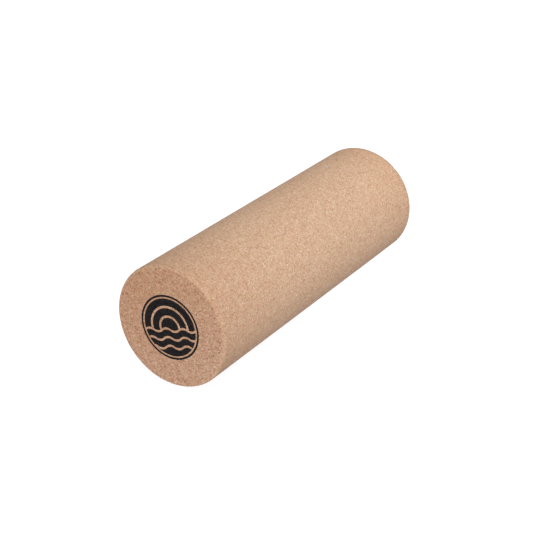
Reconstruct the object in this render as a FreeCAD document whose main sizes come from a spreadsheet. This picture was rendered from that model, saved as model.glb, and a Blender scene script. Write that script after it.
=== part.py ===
import FreeCAD, Part
import Sketcher
import math
import os

# Roller of a roller-type balance board: one solid cylinder of agglomerated cork, lying on its side,
# with a round mark printed in black on one end.
# Millimetres. The origin is the middle of the roller, on its axis. The axis runs along Y, the
# printed end faces -Y, and Z is up.

SIZES = {
    "roller_diameter": 100.0,
    "roller_length": 300.0,
    "rim_radius": 3.4,        # rounding of both rims
    "ink_depth": 0.2,         # how far the ink has soaked into the end grain
    "mark_turn": 14.0,        # degrees anticlockwise, looking at the printed end
    "ring_diameter": 53.0,    # outside of the thin ring
    "ring_line": 1.6,         # width of the ring's line
    "art_diameter": 47.2,     # outside of the artwork inside the ring
    "sun_diameter": 16.0,
    "bare_gap": 1.9,          # bare cork between one printed area and the next
    "water_level": -3.0,      # mean line of the top wave, from the mark's centre
    "wave_length": 16.0,
    "wave_height": 1.3,       # rise of a crest, or fall of a trough, from the mean line
    "band_height": 5.2,       # height of the first two bands of water
}

# where one wavy edge or another crosses the mark, and how the arches share the sky
SKYLINE = "Sizes.water_level + Sizes.bare_gap"
FIRST_BAND_FOOT = "Sizes.water_level - Sizes.band_height"
SECOND_BAND_TOP = f"{FIRST_BAND_FOOT} - Sizes.bare_gap"
SECOND_BAND_FOOT = f"{SECOND_BAND_TOP} - Sizes.band_height"
THIRD_BAND_TOP = f"{SECOND_BAND_FOOT} - Sizes.bare_gap"
ABOVE_THE_ART = "Sizes.art_diameter"
BELOW_THE_ART = "-Sizes.art_diameter"
SUN_RADIUS = "Sizes.sun_diameter / 2"
ART_RADIUS = "Sizes.art_diameter / 2"
ARCH_WIDTH = f"({ART_RADIUS} - {SUN_RADIUS} - 2 * Sizes.bare_gap) / 2"
INNER_ARCH_INSIDE = f"{SUN_RADIUS} + Sizes.bare_gap"
INNER_ARCH_OUTSIDE = f"{INNER_ARCH_INSIDE} + {ARCH_WIDTH}"
OUTER_ARCH_INSIDE = f"{INNER_ARCH_OUTSIDE} + Sizes.bare_gap"

# an arc's radius is chord ^ 2 / (8 * rise) + rise / 2, and here its chord is half a wave
HALF_WAVE = "Sizes.wave_length / 2"
WAVE_ARC_RADIUS = f"({HALF_WAVE}) ^ 2 / (8 * Sizes.wave_height) + Sizes.wave_height / 2"

# how Sketcher numbers a curve's own points, and its first point of all, the sketch's origin
START, END, CENTRE = 1, 2, 3
ORIGIN = (-1, START)


def make_sheet(doc):
    """Keeps the driving dimensions in a spreadsheet, one to a row, each under its own alias."""
    sheet = doc.addObject("Spreadsheet::Sheet", "Sizes")
    for row, (alias, size) in enumerate(SIZES.items(), start=1):
        sheet.set(f"A{row}", alias)
        sheet.set(f"B{row}", str(size))
        sheet.setAlias(f"B{row}", alias)
    doc.recompute()


# Sketches. Each lies in its body's XZ plane: X to the right, Z up, its normal along -Y.

def add_sketch(body, name):
    """An empty sketch on the body's XZ plane."""
    sketch = body.newObject("Sketcher::SketchObject", name)
    planes = [item for item in body.Origin.OriginFeatures if item.Role == "XZ_Plane"]
    sketch.AttachmentSupport = [(planes[0], "")]
    sketch.MapMode = "FlatFace"
    return sketch


def bind_size(sketch, name, kind, members, expression):
    """Adds a constraint of that kind between the members, and lets the spreadsheet drive it."""
    size = sketch.evalExpression(expression)
    number = sketch.addConstraint(Sketcher.Constraint(kind, *members, size))
    sketch.renameConstraint(number, name)
    sketch.setExpression(f"Constraints.{name}", expression)


def add_circles(sketch, radii):
    """Circles about the sketch's origin, one for each named radius."""
    for name, expression in radii.items():
        radius = sketch.evalExpression(expression)
        outline = Part.Circle(FreeCAD.Vector(), FreeCAD.Vector(0, 0, 1), radius)
        circle = sketch.addGeometry(outline)
        sketch.addConstraint(Sketcher.Constraint("Coincident", circle, CENTRE, *ORIGIN))
        bind_size(sketch, name, "Radius", [circle], expression)


def draw_half_waves(sketch, whole_waves, level):
    """Draws arcs side by side, crest and trough in turn, centred on the sketch's Z axis.

    Returns the left ends and the right ends, each as a curve's number and a point's number."""
    half_wave = sketch.evalExpression(HALF_WAVE)
    radius = sketch.evalExpression(WAVE_ARC_RADIUS)
    half_angle = math.asin(half_wave / 2 / radius)
    left_ends, right_ends = [], []
    for place in range(-whole_waves, whole_waves):
        is_crest = (place + whole_waves) % 2 == 0
        way = 1 if is_crest else -1
        middle = (place + 0.5) * half_wave
        centre = FreeCAD.Vector(middle, level - way * radius * math.cos(half_angle), 0)
        outline = Part.Circle(centre, FreeCAD.Vector(0, 0, 1), radius)
        middle_angle = way * math.pi / 2
        arc = sketch.addGeometry(Part.ArcOfCircle(
            outline, middle_angle - half_angle, middle_angle + half_angle))
        # an arc runs anticlockwise: a crest's from right to left, a trough's from left to right
        left_ends.append((arc, END if is_crest else START))
        right_ends.append((arc, START if is_crest else END))
    return left_ends, right_ends


def add_wave_line(sketch, name, level):
    """A level row of waves that reaches past the artwork at both sides. Returns its two ends."""
    whole_waves = math.ceil(sketch.evalExpression("Sizes.art_diameter / Sizes.wave_length"))
    left_ends, right_ends = draw_half_waves(sketch, whole_waves, sketch.evalExpression(level))
    first_arc = left_ends[0][0]
    row_start = f"-{whole_waves} * {HALF_WAVE}"
    bind_size(sketch, f"{name}_left", "DistanceX", [*ORIGIN, *left_ends[0]], row_start)
    bind_size(sketch, f"{name}_level", "DistanceY", [*ORIGIN, *left_ends[0]], level)
    bind_size(sketch, f"{name}_radius", "Radius", [first_arc], WAVE_ARC_RADIUS)
    for number, (left, right) in enumerate(zip(left_ends, right_ends)):
        bind_size(sketch, f"{name}_chord_{number}", "DistanceX", [*left, *right], HALF_WAVE)
        sketch.addConstraint(Sketcher.Constraint("Horizontal", *left, *right))
    for right, next_left in zip(right_ends, left_ends[1:]):
        sketch.addConstraint(Sketcher.Constraint("Coincident", *right, *next_left))
        sketch.addConstraint(Sketcher.Constraint("Equal", first_arc, next_left[0]))
    return left_ends[0], right_ends[-1]


def add_wavy_strip(sketch, name, foot, top):
    """The closed outline between two wave lines at the levels foot and top."""
    foot_ends = add_wave_line(sketch, f"{name}_foot", foot)
    top_ends = add_wave_line(sketch, f"{name}_top", top)
    for foot_end, top_end in zip(foot_ends, top_ends):
        side = sketch.addGeometry(Part.LineSegment(
            sketch.getPoint(*foot_end), sketch.getPoint(*top_end)))
        sketch.addConstraint(Sketcher.Constraint("Coincident", side, START, *foot_end))
        sketch.addConstraint(Sketcher.Constraint("Coincident", side, END, *top_end))


# The printed mark: each area of ink is a thin layer let into the cork, flush with the end face.

def start_print(doc, name, radii):
    """A layer of ink bounded by the given circles, on the roller's end, turned with the mark."""
    body = doc.addObject("PartDesign::Body", name)
    outline = add_sketch(body, f"{name}_outline")
    add_circles(outline, radii)
    layer = body.newObject("PartDesign::Pad", f"{name}_layer")
    layer.Profile = outline
    layer.Reversed = True     # from the end face into the roller, which is +Y
    layer.setExpression("Length", "Sizes.ink_depth")
    body.Placement = FreeCAD.Placement(
        FreeCAD.Vector(), FreeCAD.Rotation(FreeCAD.Vector(0, -1, 0), SIZES["mark_turn"]))
    body.setExpression("Placement.Base.y", "-Sizes.roller_length / 2")
    body.setExpression("Placement.Rotation.Angle", "Sizes.mark_turn")
    doc.recompute()
    return body


def leave_bare(body, strips):
    """Takes the wavy strips, each a foot and a top level, out of a layer of ink."""
    ink_before = body.Shape.Volume
    outline = add_sketch(body, f"{body.Name}_bare")
    for number, (foot, top) in enumerate(strips):
        add_wavy_strip(outline, f"strip_{number}", foot, top)
    cut = body.newObject("PartDesign::Pocket", f"{body.Name}_cut")
    cut.Profile = outline
    cut.Type = "ThroughAll"
    body.Document.recompute()
    if not body.Shape.Volume < ink_before:
        raise RuntimeError(f"{body.Name}: the bare strips took nothing away")


def make_print_ring(doc):
    return start_print(doc, "print_ring", {
        "outside": "Sizes.ring_diameter / 2",
        "inside": "Sizes.ring_diameter / 2 - Sizes.ring_line",
    })


def make_print_sun(doc):
    """A half sun standing on the water."""
    body = start_print(doc, "print_sun", {"outside": SUN_RADIUS})
    leave_bare(body, [(BELOW_THE_ART, SKYLINE)])
    return body


def make_print_arches(doc):
    """Two arches of sky about the sun."""
    body = start_print(doc, "print_arches", {
        "inner_arch_inside": INNER_ARCH_INSIDE,
        "inner_arch_outside": INNER_ARCH_OUTSIDE,
        "outer_arch_inside": OUTER_ARCH_INSIDE,
        "outer_arch_outside": ART_RADIUS,
    })
    leave_bare(body, [(BELOW_THE_ART, SKYLINE)])
    return body


def make_print_waves(doc):
    """Three bands of water under the sun."""
    body = start_print(doc, "print_waves", {"outside": ART_RADIUS})
    leave_bare(body, [
        ("Sizes.water_level", ABOVE_THE_ART),
        (SECOND_BAND_TOP, FIRST_BAND_FOOT),
        (THIRD_BAND_TOP, SECOND_BAND_FOOT),
    ])
    return body


# The roller

def make_cork_blank(doc):
    """The turned cork cylinder with both rims rounded, before it is printed."""
    body = doc.addObject("PartDesign::Body", "cork_blank")
    section = add_sketch(body, "roller_section")
    add_circles(section, {"outside": "Sizes.roller_diameter / 2"})
    bar = body.newObject("PartDesign::Pad", "bar")
    bar.Profile = section
    bar.SideType = "Symmetric"
    bar.setExpression("Length", "Sizes.roller_length")
    doc.recompute()
    rims = [f"Edge{number}" for number, edge in enumerate(bar.Shape.Edges, start=1)
            if edge.Closed and isinstance(edge.Curve, Part.Circle)]
    rounding = body.newObject("PartDesign::Fillet", "rim_rounding")
    rounding.Base = (bar, rims)
    rounding.setExpression("Radius", "Sizes.rim_radius")
    doc.recompute()
    return body


def make_cork_roller(doc, prints):
    """The cork itself: the blank, less the grain that the ink has filled."""
    mark = doc.addObject("Part::Compound", "whole_mark")
    mark.Links = prints
    roller = doc.addObject("Part::Cut", "cork_roller")
    roller.Base = make_cork_blank(doc)
    roller.Tool = mark
    doc.recompute()
    return roller


def check_model(doc, subparts):
    """Stops the build if an object failed, or a sub-part isn't sound solids."""
    failed = [item.Label for item in doc.Objects if {"Invalid", "Error"} & set(item.State)]
    unsound = [item.Label for item in subparts
               if item.Shape.isNull() or not item.Shape.isValid() or not item.Shape.Solids]
    loose = [item.Label for item in doc.Objects
             if item.TypeId == "Sketcher::SketchObject" and item.solve() != 0]
    if failed or unsound or loose:
        raise RuntimeError(f"failed {failed}, unsound {unsound}, sketches unsolved {loose}")


def build():
    doc = FreeCAD.newDocument("cork_balance_roller")
    make_sheet(doc)
    prints = [
        make_print_ring(doc),
        make_print_sun(doc),
        make_print_arches(doc),
        make_print_waves(doc),
    ]
    subparts = [make_cork_roller(doc, prints), *prints]
    check_model(doc, subparts)
    os.makedirs("parts", exist_ok=True)
    for item in subparts:
        item.Shape.exportStep(f"parts/{item.Label}.step")
        print(f"{item.Label}: {len(item.Shape.Solids)} solids, {item.Shape.Volume:.1f} mm3")


build()
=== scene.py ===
"""Looks of the cork roller of a balance board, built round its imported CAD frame.

Metres, in the CAD's frame: the origin is the middle of the roller, its axis runs along Y, the
printed end faces -Y, and Z is up.
"""

from collections import namedtuple
import math

import bmesh
import bpy
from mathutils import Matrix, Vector, noise


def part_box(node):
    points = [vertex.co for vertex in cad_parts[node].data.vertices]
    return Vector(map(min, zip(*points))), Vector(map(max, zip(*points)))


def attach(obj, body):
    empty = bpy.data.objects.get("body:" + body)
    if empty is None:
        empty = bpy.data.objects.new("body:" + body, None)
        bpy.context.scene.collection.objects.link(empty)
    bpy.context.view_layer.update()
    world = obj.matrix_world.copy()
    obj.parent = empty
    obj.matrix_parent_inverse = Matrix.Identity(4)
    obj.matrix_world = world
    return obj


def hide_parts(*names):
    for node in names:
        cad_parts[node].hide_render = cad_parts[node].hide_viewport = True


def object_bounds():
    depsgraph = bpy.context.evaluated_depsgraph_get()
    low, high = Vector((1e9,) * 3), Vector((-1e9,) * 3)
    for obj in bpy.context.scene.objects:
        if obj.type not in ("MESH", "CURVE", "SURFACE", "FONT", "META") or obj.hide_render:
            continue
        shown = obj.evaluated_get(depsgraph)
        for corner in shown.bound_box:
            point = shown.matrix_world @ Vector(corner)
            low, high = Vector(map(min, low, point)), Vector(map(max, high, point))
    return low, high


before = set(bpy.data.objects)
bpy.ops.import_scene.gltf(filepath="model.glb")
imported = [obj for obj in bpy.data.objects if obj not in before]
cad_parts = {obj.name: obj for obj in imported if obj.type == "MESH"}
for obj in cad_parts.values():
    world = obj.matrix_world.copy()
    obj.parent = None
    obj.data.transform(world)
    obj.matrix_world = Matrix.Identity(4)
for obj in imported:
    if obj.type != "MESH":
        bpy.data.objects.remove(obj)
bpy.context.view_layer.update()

MM = 0.001
PRINTS = ("print_ring", "print_sun", "print_arches", "print_waves")

# the roller's shape: a smaller cylinder, its core, grown by the radius of its rims
_, roller_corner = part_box("cork_roller")
RADIUS = roller_corner.x
HALF_LENGTH = roller_corner.y
RIM_RADIUS = 3.4 * MM           # as in the CAD
CORE_RADIUS = RADIUS - RIM_RADIUS
CORE_HALF = HALF_LENGTH - RIM_RADIUS

# the cork's mesh, and its flat unwrap: the side unrolled, and the two discs beside it
SEGMENTS = 288                  # round the roller; a multiple of 8, so that the ends' grids meet it
RIM_STEPS = 8
SHARP_ANGLE = math.radians(50)
UNWRAP_NAME = "OFBake"          # the name of the cork's flat unwrap; the export bakes the colours into an unwrap of this name
UNWRAP_GAP = 3 * MM
UNWRAP_WIDTH = 2 * math.pi * RADIUS + 2 * CORE_RADIUS + 3 * UNWRAP_GAP
UNWRAP_HEIGHT = 2 * CORE_HALF + math.pi * RIM_RADIUS + 2 * UNWRAP_GAP
SAME_PLACE = 0.001 * MM         # vertices closer than this are made one

# the relief that the mesh carries
WAVINESS = 0.05 * MM            # broad unevenness left by turning and sanding
WAVE_SIZE = 18 * MM
GRAIN_RELIEF = 0.05 * MM        # granules standing a little above or below each other
GRAIN_SIZE = 2.2 * MM
END_SMOOTHNESS = 0.6            # the share of the relief that the ends lack
CHIP_DEPTH = 1.2 * MM           # crumbs lost from the rims
CHIP_SIZE = 3.0 * MM
CHIP_RARITY = 0.3               # noise below this leaves the rim whole

# the ink: a thin film laid on the relief
INK_RISE = 0.05 * MM
INK_THICKNESS = 0.12 * MM
INK_CELL = 0.8 * MM             # the film's mesh
INK_BLEED = 0.03 * MM
INK_RAGGEDNESS = 0.06 * MM      # how far the grain pulls an edge to one side or the other
ELSEWHERE = Vector((0, 50, 0))  # a step to a part of the noise that is unlike this one
FACING_OUT = -0.9               # the ink's face is where its normal's Y is below this

# the pattern of the cork, and of the ink soaked into it
COARSE_GRANULE = 2.0 * MM
FINE_GRANULE = 0.95 * MM
SIDE_SHARE_OF_COARSE = 0.12
END_SHARE_OF_COARSE = 0.24
SHARE_OF_BARK = 0.008
SHARE_OF_CREAM = 0.006
COARSE_EVENNESS = 0.35          # how far the fine pattern shows inside a coarse granule
WANDER_SIZE = 0.8               # granules' outlines wander, in granules
WANDER_REACH = 0.125
GLUE_WIDTH = 0.1                # in granules, as is the slope
GRANULE_SLOPE = 0.3
HUE_PATCH = 5 * MM
HUE_PATCHINESS = 0.5
MOTTLE = 0.5 * MM
MOTTLE_NOISE = (0.3, 0.7)       # the mottle's noise is mostly within this
ROUGH_GRAIN = 0.3 * MM
FINE_DETAIL = 3.0               # octaves of the fine noises
CORK_BUMP = 0.04 * MM
INK_BUMP = 0.03 * MM
SHARE_OF_THIN_INK = 0.1
THIN_INK_NOISE = (0.62, 0.8)    # where the noise is above this, the ink is at its thinnest

# the look of the ends takes over from the look of the side close to the flat of the end, and the
# rims get a painted highlight on the way there
END_LOOK_STARTS = 0.45 * MM
END_LOOK_IS_FULL = 0.08 * MM
RIM_HIGHLIGHT_SPREAD = 2.5 * MM

# colours, as linear red, green and blue
WHITE = (1.0, 1.0, 1.0)
CORK_MEAN = (0.50, 0.321, 0.206)
CORK_TONES = (
    (0.00, (0.29, 0.160, 0.090)),       # bark
    (0.02, (0.37, 0.208, 0.116)),
    (0.15, (0.44, 0.268, 0.163)),
    (0.50, CORK_MEAN),
    (0.85, (0.55, 0.371, 0.252)),
    (0.98, (0.60, 0.425, 0.302)),
    (1.00, (0.64, 0.480, 0.360)),       # cream
)
PINKER = (1.048, 0.952, 1.068)          # tints, by which a colour is multiplied
YELLOWER = (0.952, 1.048, 0.932)
SIDE_PAINTED_SHADE = (                          # painted shade, darker and redder toward the side's ends, from the printed end to the plain one
    (0.00, (0.94, 0.89, 0.86)),
    (0.27, WHITE),
    (0.83, WHITE),
    (0.97, (0.96, 0.93, 0.90)),
    (1.00, (0.82, 0.79, 0.76)),
)
END_TINTS_SHADED_AND_LIT = (                           # an end's own redder tone: darker and redder on one side with painted shade, paler on the other with painted light
    (0.942, 0.809, 0.728),
    (1.008, 0.931, 0.922),
)
PAINTED_LIGHT_TOWARD = (0.57, 0.0, -0.82)       # the way the painted light falls from; at the printed end, this is the lower right
# how much paler the rims are painted: a painted highlight where the rounded edge catches the light
RIM_PAINTED_HIGHLIGHT = 1.18
GLUE_DARKNESS = 0.85
MOTTLE_RANGE = (0.9, 1.1)
SIDE_CONTRAST = 0.88                    # of the granules; 1 is as in the tones above
END_CONTRAST = 1.17
INK_BLACK = (0.0054, 0.0042, 0.0043)
INK_SHADES = (0.2, 4.0)                 # times that black, from granule to granule
THIN_INK_SHADE = 12.0
CORK_ROUGHNESS = (0.92, 0.82)           # of the darkest and of the lightest granules
CORK_SHINE = 0.25
INK_ROUGHNESS = (0.7, 0.85)
INK_SHINE = 0.12
FLOOR_COLOUR = (0.575, 0.590, 0.630)

# light. Azimuth 0 is in front of the printed end and 90 at the right; angles are in degrees. A
# white surface square on to a lamp of brightness 1 looks white.
Lamp = namedtuple("Lamp", "name azimuth elevation distance size brightness")
LAMPS = (
    Lamp("key_light", 137, 43, 1.6, 1.1, 0.865),
    Lamp("front_light", 22, 11, 1.6, 0.6, 0.435),
    Lamp("table_light", 238, -26, 1.6, 1.1, 0.34),      # up through the light table, at the back
)
ROOM_LIGHT = 0.62
FLOOR_REACH = 8.0
FLOOR_GLOW = 0.5                        # near the roller, where the lamps light the floor too
FAR_FLOOR_GLOW = 0.68
LAMPLIGHT_FADES = 0.4
LAMPLIGHT_IS_GONE = 1.6

# camera: it looks almost at the roller's centre. The lens and the sensor are in millimetres
CAMERA_AZIMUTH = 32.51
CAMERA_ELEVATION = 25.42
CAMERA_DISTANCE = 1.0662
CAMERA_AIM = Vector((-5.09, -7.585, -7.78)) * MM
CAMERA_LENS = 85.984
CAMERA_SENSOR = 36.0
CAMERA_CLIP = 0.01


# The roller's surface

def outward(point):
    """The surface normal, away from the nearest point of the core."""
    nearest = Vector((point.x, 0, point.z))
    if nearest.length > CORE_RADIUS:
        nearest *= CORE_RADIUS / nearest.length
    nearest.y = min(max(point.y, -CORE_HALF), CORE_HALF)
    return (point - nearest).normalized()


def relief(point):
    """How far the cork stands above the smooth surface there, less on the ends, which are sawn."""
    endness = max(0.0, (abs(point.y) - CORE_HALF) / RIM_RADIUS)
    wave = noise.noise(point / WAVE_SIZE)
    grain = noise.noise(point / GRAIN_SIZE)
    return (WAVINESS * wave + GRAIN_RELIEF * grain) * (1 - END_SMOOTHNESS * endness)


def chip(point, normal):
    """How deep a crumb is missing. Only the rims, where the normal leans, lose crumbs."""
    lean = 2 * abs(normal.y) * math.hypot(normal.x, normal.z)
    loss = max(0.0, noise.noise(point / CHIP_SIZE) - CHIP_RARITY)
    return CHIP_DEPTH * lean * loss


# The cork's mesh: rings from one end to the other, closed by a square grid rounded to a disc at
# each end

def ring_stations():
    """The rings from the printed end to the plain one, each as its place along Y and its radius."""
    side_steps = round(2 * CORE_HALF * SEGMENTS / (2 * math.pi * RADIUS))
    rim_angles = [step * math.pi / 2 / RIM_STEPS for step in range(RIM_STEPS)]
    near_rim = [(-CORE_HALF - RIM_RADIUS * math.cos(a), CORE_RADIUS + RIM_RADIUS * math.sin(a))
                for a in rim_angles]
    side = [(-CORE_HALF + 2 * CORE_HALF * step / side_steps, RADIUS)
            for step in range(side_steps + 1)]
    far_rim = [(-y, radius) for y, radius in reversed(near_rim)]
    return near_rim + side + far_rim


def add_face(bm, layer, corners, places):
    """A face, and where its corners lie on the unwrap, in metres."""
    face = bm.faces.new(corners)
    for loop, place in zip(face.loops, places):
        loop[layer].uv = (place[0] / UNWRAP_WIDTH, place[1] / UNWRAP_HEIGHT)


def add_rings(bm, layer):
    """The side and both rims."""
    step_angle = 2 * math.pi / SEGMENTS
    previous, along = None, UNWRAP_GAP
    for y, radius in ring_stations():
        ring = [bm.verts.new((radius * math.cos(k * step_angle), y,
                              radius * math.sin(k * step_angle))) for k in range(SEGMENTS)]
        if previous:
            last_along = along
            along += (ring[0].co - previous[0].co).length
            for k in range(SEGMENTS):
                after = (k + 1) % SEGMENTS
                left = UNWRAP_GAP + k * step_angle * RADIUS
                right = left + step_angle * RADIUS
                add_face(bm, layer,
                         (previous[k], previous[after], ring[after], ring[k]),
                         ((left, last_along), (right, last_along), (right, along), (left, along)))
        previous = ring


def round_grid(across, up):
    """A point of the square from -1 to 1, moved to the disc that its edge is bent into."""
    if across == up == 0:
        return 0.0, 0.0
    if abs(across) > abs(up):
        radius, angle = across, math.pi / 4 * up / across
    else:
        radius, angle = up, math.pi / 2 - math.pi / 4 * across / up
    return radius * math.cos(angle), radius * math.sin(angle)


def add_end(bm, layer, y, unwrap_row):
    """The flat disc at one end, out to where the rim begins to round."""
    cells = SEGMENTS // 4               # along each of the grid's four sides
    centre = (UNWRAP_WIDTH - UNWRAP_GAP - CORE_RADIUS,
              UNWRAP_GAP + CORE_RADIUS + unwrap_row * (2 * CORE_RADIUS + UNWRAP_GAP))
    grid, places = {}, {}
    for column in range(cells + 1):
        for row in range(cells + 1):
            x, z = round_grid(2 * column / cells - 1, 2 * row / cells - 1)
            grid[column, row] = bm.verts.new((x * CORE_RADIUS, y, z * CORE_RADIUS))
            places[column, row] = (centre[0] + x * CORE_RADIUS, centre[1] + z * CORE_RADIUS)
    for column in range(cells):
        for row in range(cells):
            around = [(column, row), (column + 1, row), (column + 1, row + 1), (column, row + 1)]
            add_face(bm, layer, [grid[at] for at in around], [places[at] for at in around])


def make_cork():
    """The whole body of the roller, as one closed mesh."""
    bm = bmesh.new()
    layer = bm.loops.layers.uv.new(UNWRAP_NAME)
    add_rings(bm, layer)
    add_end(bm, layer, -HALF_LENGTH, 0)
    add_end(bm, layer, HALF_LENGTH, 1)
    bmesh.ops.remove_doubles(bm, verts=bm.verts, dist=SAME_PLACE)
    bmesh.ops.recalc_face_normals(bm, faces=bm.faces)
    for vertex in bm.verts:
        place = vertex.co.copy()
        normal = outward(place)
        vertex.co += normal * (relief(place) - chip(place, normal))
    return finish_mesh(bm, "cork_body")


# The printed mark

def cut_into_cells(bm, low, high):
    """Cuts flat faces along a square grid in X and Z."""
    for axis in (Vector((1, 0, 0)), Vector((0, 0, 1))):
        reach = (high - low).dot(axis)
        for step in range(1, math.ceil(reach / INK_CELL)):
            bmesh.ops.bisect_plane(
                bm, geom=[*bm.verts, *bm.edges, *bm.faces],
                plane_co=low + axis * step * INK_CELL, plane_no=axis)
    bmesh.ops.triangulate(bm, faces=bm.faces)


def spread_edges(bm):
    """Moves the outline of flat faces outwards, as ink bleeds, and a little to and fro."""
    moves = {}
    for edge in bm.edges:
        if edge.is_boundary:
            side = edge.verts[1].co - edge.verts[0].co
            away = side.cross(edge.link_faces[0].normal).normalized()
            if away.dot(edge.verts[0].co - edge.link_faces[0].calc_center_median()) < 0:
                away = -away
            for vertex in edge.verts:
                moves[vertex] = moves.get(vertex, Vector()) + away
    for vertex, away in moves.items():
        place = vertex.co / GRAIN_SIZE
        pull = Vector((noise.noise(place), 0, noise.noise(place + ELSEWHERE)))
        vertex.co += away.normalized() * INK_BLEED + pull * INK_RAGGEDNESS


def put_in_order(bm):
    """Orders the mesh by place, because the tools that made it leave a new order on every run."""
    def number(parts, place):
        for rank, part in enumerate(sorted(parts, key=place)):
            part.index = rank
        parts.sort()

    number(bm.verts, lambda vertex: vertex.co[:])
    number(bm.edges, lambda edge: sorted(vertex.index for vertex in edge.verts))
    number(bm.faces, lambda face: sorted(vertex.index for vertex in face.verts))


def make_ink(name):
    """A printed area: its CAD outline, a little ragged, laid on the cork as a thin film."""
    bm = bmesh.new()
    bm.from_mesh(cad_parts[name].data)
    hidden = [face for face in bm.faces if face.normal.y > FACING_OUT]
    bmesh.ops.delete(bm, geom=hidden, context="FACES")
    bmesh.ops.remove_doubles(bm, verts=bm.verts, dist=SAME_PLACE)
    cut_into_cells(bm, *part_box(name))
    spread_edges(bm)
    for vertex in bm.verts:
        vertex.co.y -= relief(vertex.co) + INK_RISE
    outside = bm.faces[:]
    inside = bmesh.ops.extrude_face_region(bm, geom=outside, use_keep_orig=True)["geom"]
    for item in inside:
        if isinstance(item, bmesh.types.BMVert):
            item.co.y += INK_THICKNESS
    put_in_order(bm)
    bmesh.ops.recalc_face_normals(bm, faces=bm.faces)
    return finish_mesh(bm, f"ink_{name.removeprefix('print_')}")


def finish_mesh(bm, name):
    """Turns the bmesh into an object, smooth except across sharp edges."""
    for face in bm.faces:
        face.smooth = True
    for edge in bm.edges:
        edge.smooth = edge.is_manifold and edge.calc_face_angle() < SHARP_ANGLE
    mesh = bpy.data.meshes.new(name)
    bm.to_mesh(mesh)
    bm.free()
    piece = bpy.data.objects.new(name, mesh)
    bpy.context.scene.collection.objects.link(piece)
    return piece


# Materials

Granules = namedtuple("Granules", "tone hue kind edge")
MIX_FIRST, MIX_SECOND, MIX_RESULT = 6, 7, 2     # a Mix node's colour sockets


def rgba(colour, by=1.0):
    return (*(part * by for part in colour), 1.0)


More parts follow.
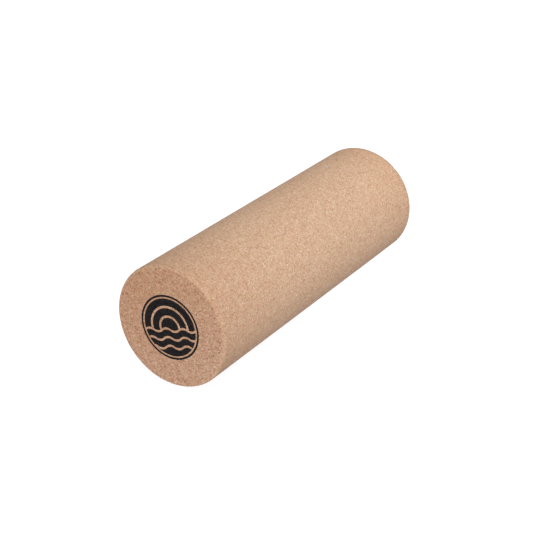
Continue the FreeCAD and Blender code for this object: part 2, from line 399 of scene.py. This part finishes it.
class Recipe:
    """Adds nodes to a material or a world, so that how it is made reads from top to bottom."""

    def __init__(self, owner, shader):
        owner.use_nodes = True
        self.tree = owner.node_tree
        self.shader = self.tree.nodes[shader]

    def feed(self, socket, value):
        """Links the socket to another node's output, or gives it a plain value."""
        if isinstance(value, bpy.types.NodeSocket):
            self.tree.links.new(value, socket)
        else:
            socket.default_value = value

    def finish(self, name, value):
        """Gives the shader one of its inputs."""
        self.feed(self.shader.inputs[name], value)

    def add(self, kind, settings=None, **inputs):
        """A new node with its settings made and its inputs fed; _ stands for a space."""
        node = self.tree.nodes.new(f"ShaderNode{kind}")
        for name, value in (settings or {}).items():
            setattr(node, name, value)
        for name, value in inputs.items():
            self.feed(node.inputs[name.replace("_", " ")], value)
        return node

    def place(self):
        """Where on the object a point is, in metres."""
        return self.add("TexCoord").outputs["Object"]

    def calculate(self, operation, *values):
        node = self.add("Math", {"operation": operation})
        for socket, value in zip(node.inputs, values):
            self.feed(socket, value)
        return node.outputs["Value"]

    def move(self, place, by):
        node = self.add("VectorMath", {"operation": "ADD"}, Vector=place)
        self.feed(node.inputs[1], by)
        return node.outputs["Vector"]

    def reach(self, place, toward):
        """How far the place lies from the origin in that direction."""
        node = self.add("VectorMath", {"operation": "DOT_PRODUCT"}, Vector=place)
        self.feed(node.inputs[1], toward)
        return node.outputs["Value"]

    def scale(self, vector, by):
        """A place or a colour times a number."""
        return self.add("VectorMath", {"operation": "SCALE"}, Vector=vector,
                        Scale=by).outputs["Vector"]

    def ease(self, value, low, high, to_low=0.0, to_high=1.0):
        """The value's range from low to high, eased to the new range and held at its ends."""
        node = self.add("MapRange", {"interpolation_type": "SMOOTHSTEP"}, Value=value,
                        From_Min=low, From_Max=high, To_Min=to_low, To_Max=to_high)
        return node.outputs["Result"]

    def noise(self, place, size, detail=2.0):
        """Soft noise about 0.5, with lumps of that size in metres."""
        return self.add("TexNoise", Vector=place, Scale=1 / size, Detail=detail).outputs["Fac"]

    def shaken(self, place, size, reach):
        """The place moved about by noise, so that what is drawn there gets uneven outlines."""
        wander = self.add("TexNoise", Vector=place, Scale=1 / size, Detail=1.0).outputs["Color"]
        centred = self.move(wander, (-0.5, -0.5, -0.5))     # now from -0.5 to 0.5 each way
        return self.move(self.scale(centred, 2 * reach), place)

    def granules(self, place, size):
        """Uneven cells: three random numbers to a cell, and how near its edge is."""
        uneven = self.shaken(place, WANDER_SIZE * size, WANDER_REACH * size)
        random = self.add("TexVoronoi", Vector=uneven, Scale=1 / size).outputs["Color"]
        numbers = self.add("SeparateColor", Color=random).outputs
        edge = self.add("TexVoronoi", {"feature": "DISTANCE_TO_EDGE"}, Vector=uneven,
                        Scale=1 / size).outputs["Distance"]
        return Granules(numbers["Red"], numbers["Green"], numbers["Blue"], edge)

    def blend(self, share, first, second, kind="MIX"):
        """Two colours mixed, the second by its share, which may be above 1."""
        node = self.add("Mix", {"data_type": "RGBA", "blend_type": kind, "clamp_factor": False})
        self.feed(node.inputs[0], share)
        self.feed(node.inputs[MIX_FIRST], first)
        self.feed(node.inputs[MIX_SECOND], second)
        return node.outputs[MIX_RESULT]

    def tint(self, colour, tint):
        return self.blend(1.0, colour, tint, "MULTIPLY")

    def either(self, share, first, second):
        """Two numbers mixed, the second by its share."""
        node = self.add("Mix", {"data_type": "FLOAT"}, Factor=share, A=first, B=second)
        return node.outputs["Result"]

    def ramp(self, value, stops):
        """A colour for each value, from stops of value and colour."""
        node = self.add("ValToRGB", Fac=value)
        elements = node.color_ramp.elements
        while len(elements) < len(stops):
            elements.new(0.5)           # anywhere, as each stop gets its own position below
        for element, (position, colour) in zip(elements, stops):
            element.position = position
            element.color = rgba(colour)
        return node.outputs["Color"]

    def glow(self, seen, shed):
        """A strength of glow: one for the camera, and another for the light it sheds on things."""
        return self.either(self.add("LightPath").outputs["Is Camera Ray"], shed, seen)

    def grainy_normal(self, place, edge, depth):
        """Granules standing a little proud of the glue, with a fine roughness."""
        height = self.calculate("ADD", self.ease(edge, 0.0, GRANULE_SLOPE),
                                self.noise(place, ROUGH_GRAIN, FINE_DETAIL))
        return self.add("Bump", Strength=1.0, Distance=depth, Height=height).outputs["Normal"]


def granule_tone(r, coarse, fine, is_fine):
    """How light a granule is, from 0 to 1. A few are bark, at 0, and a few are cream, at 1."""
    inside_coarse = r.either(COARSE_EVENNESS, coarse.tone, fine.tone)
    tone = r.either(is_fine, inside_coarse, fine.tone)
    is_bark = r.calculate("LESS_THAN", fine.kind, SHARE_OF_BARK)
    is_cream = r.calculate("LESS_THAN", fine.hue, SHARE_OF_CREAM)
    return r.calculate("MAXIMUM", r.calculate("SUBTRACT", tone, is_bark), is_cream)


def cork_material():
    """Pressed cork: coarse and fine granules, each its own shade, with dark glue between them."""
    material = bpy.data.materials.new("pressed_cork")
    r = Recipe(material, "Principled BSDF")
    place = r.place()
    along = r.add("SeparateXYZ", Vector=place).outputs["Y"]
    from_middle = r.calculate("ABSOLUTE", along)
    at_end = r.ease(from_middle, HALF_LENGTH - END_LOOK_STARTS, HALF_LENGTH - END_LOOK_IS_FULL)

    coarse = r.granules(place, COARSE_GRANULE)
    fine = r.granules(place, FINE_GRANULE)
    share_of_coarse = r.either(at_end, SIDE_SHARE_OF_COARSE, END_SHARE_OF_COARSE)
    is_fine = r.calculate("GREATER_THAN", coarse.kind, share_of_coarse)
    tone = granule_tone(r, coarse, fine, is_fine)
    edge = r.either(is_fine, coarse.edge, fine.edge)

    # painted shade makes the side a little darker and redder near its ends; the ends themselves, cut
    # across the granules, are redder in their own tone, darker and redder still on one side with
    # painted shade and paler on the other with painted light; the rims between get a painted
    # highlight
    rim_painted_highlight = r.ease(from_middle, CORE_HALF, CORE_HALF + RIM_HIGHLIGHT_SPREAD, 1.0, RIM_PAINTED_HIGHLIGHT)
    contrast = r.either(at_end, SIDE_CONTRAST, END_CONTRAST)
    share_along = r.calculate("MULTIPLY_ADD", along, 0.5 / HALF_LENGTH, 0.5)    # from 0 to 1
    # painted light and shade across each end: paler toward the lower right as seen from the printed
    # end
    painted_light_share = r.ease(r.reach(place, PAINTED_LIGHT_TOWARD), -RADIUS, RADIUS)
    end_tint_and_painted_light = r.blend(painted_light_share, *(rgba(tint) for tint in END_TINTS_SHADED_AND_LIT))
    # painted shade along the side, blended into the ends' own tone with their painted light and
    # shade
    painted_shading_and_end_tone = r.blend(at_end, r.ramp(share_along, SIDE_PAINTED_SHADE), end_tint_and_painted_light)

    # each granule is a little pink or yellow, with a fine mottle inside it
    hue = r.either(HUE_PATCHINESS, coarse.hue, r.noise(place, HUE_PATCH))
    hue_tint = r.blend(hue, rgba(PINKER), rgba(YELLOWER))
    mottle = r.ease(r.noise(place, MOTTLE, FINE_DETAIL), *MOTTLE_NOISE, *MOTTLE_RANGE)
    glue = r.ease(edge, 0.0, GLUE_WIDTH, GLUE_DARKNESS, 1.0)
    # mottle and glue are the cork's own; the rim factor is a painted highlight
    light = r.calculate("MULTIPLY", r.calculate("MULTIPLY", mottle, glue),
                        r.either(at_end, rim_painted_highlight, 1.0))
    colour = r.blend(contrast, rgba(CORK_MEAN), r.ramp(tone, CORK_TONES))
    r.finish("Base Color", r.scale(r.tint(r.tint(colour, painted_shading_and_end_tone), hue_tint), light))

    # cork is dull; light granules are a little smoother than dark ones
    r.finish("Roughness", r.ease(tone, 0.0, 1.0, *CORK_ROUGHNESS))
    r.finish("Specular IOR Level", CORK_SHINE)
    r.finish("Normal", r.grainy_normal(place, edge, CORK_BUMP))
    return material


def ink_material():
    """Dull black ink in the cork's surface, thin here and there where the grain drank less of it."""
    material = bpy.data.materials.new("printed_ink")
    r = Recipe(material, "Principled BSDF")
    place = r.place()
    granule = r.granules(place, FINE_GRANULE)
    soaked = r.blend(granule.tone, *(rgba(INK_BLACK, shade) for shade in INK_SHADES))
    may_be_thin = r.calculate("GREATER_THAN", granule.kind, 1 - SHARE_OF_THIN_INK)
    thinness = r.calculate("MULTIPLY", may_be_thin,
                           r.ease(r.noise(place, MOTTLE, FINE_DETAIL), *THIN_INK_NOISE))
    r.finish("Base Color", r.blend(thinness, soaked, rgba(INK_BLACK, THIN_INK_SHADE)))
    r.finish("Roughness", r.ease(granule.tone, 0.0, 1.0, *INK_ROUGHNESS))
    r.finish("Specular IOR Level", INK_SHINE)
    r.finish("Normal", r.grainy_normal(place, granule.edge, INK_BUMP))
    return material


def floor_material():
    """A pale light table. Its glow whitens the picture and takes most of the shadow away."""
    material = bpy.data.materials.new("floor_white")
    r = Recipe(material, "Principled BSDF")
    distance = r.add("VectorMath", {"operation": "LENGTH"}, Vector=r.place()).outputs["Value"]
    seen = r.ease(distance, LAMPLIGHT_FADES, LAMPLIGHT_IS_GONE, FLOOR_GLOW, FAR_FLOOR_GLOW)
    r.finish("Base Color", rgba(FLOOR_COLOUR))
    r.finish("Roughness", 1.0)
    r.finish("Specular IOR Level", 0.0)
    r.finish("Emission Color", rgba(WHITE))
    r.finish("Emission Strength", r.glow(seen, 0.0))
    return material


# Stage: floor, light and camera

def make_floor():
    bm = bmesh.new()
    bmesh.ops.create_grid(bm, x_segments=1, y_segments=1, size=FLOOR_REACH)
    floor = finish_mesh(bm, "floor")
    floor.location.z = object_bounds()[0].z
    floor.data.materials.append(floor_material())


def make_world():
    """A room of even light, which looks white behind the floor."""
    world = bpy.data.worlds.new("white_room")
    r = Recipe(world, "Background")
    r.finish("Color", rgba(WHITE))
    r.finish("Strength", r.glow(1.0, ROOM_LIGHT))
    bpy.context.scene.world = world


def direction(azimuth, elevation):
    """The direction from the roller to a place round it."""
    turn, rise = math.radians(azimuth), math.radians(elevation)
    return Vector((math.sin(turn) * math.cos(rise), -math.cos(turn) * math.cos(rise),
                   math.sin(rise)))


def put_facing(name, data, aim, toward, distance):
    """A lamp or camera at that distance from the aim, looking back at it."""
    thing = bpy.data.objects.new(name, data)
    thing.location = aim + toward * distance
    thing.rotation_mode = "QUATERNION"
    thing.rotation_quaternion = toward.to_track_quat("Z", "Y")
    bpy.context.scene.collection.objects.link(thing)
    return thing


def make_light(lamp):
    """A soft square lamp facing the roller. It casts no shadow, as on a light table."""
    data = bpy.data.lights.new(lamp.name, "AREA")
    data.shape = "SQUARE"
    data.size = lamp.size
    data.energy = lamp.brightness * (math.pi * lamp.distance) ** 2
    data.use_shadow = False
    light = put_facing(lamp.name, data, Vector(), direction(lamp.azimuth, lamp.elevation),
                       lamp.distance)
    light.visible_camera = False


def make_camera():
    """The photographer's camera, aimed close to the roller's centre."""
    data = bpy.data.cameras.new("camera")
    data.sensor_width = CAMERA_SENSOR
    data.lens = CAMERA_LENS
    data.clip_start = CAMERA_CLIP
    bpy.context.scene.camera = put_facing(
        "camera", data, CAMERA_AIM, direction(CAMERA_AZIMUTH, CAMERA_ELEVATION), CAMERA_DISTANCE)


cork = make_cork()
cork.data.materials.append(cork_material())
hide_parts("cork_roller")
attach(cork, "root")

black_ink = ink_material()
for print_name in PRINTS:
    film = make_ink(print_name)
    film.data.materials.append(black_ink)
    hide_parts(print_name)
    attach(film, "root")

make_floor()
make_world()
for each_lamp in LAMPS:
    make_light(each_lamp)
make_camera()

# plain colours, and a denoiser that keeps the grain crisp
bpy.context.scene.view_settings.view_transform = "Standard"
bpy.context.scene.cycles.denoising_prefilter = "NONE"
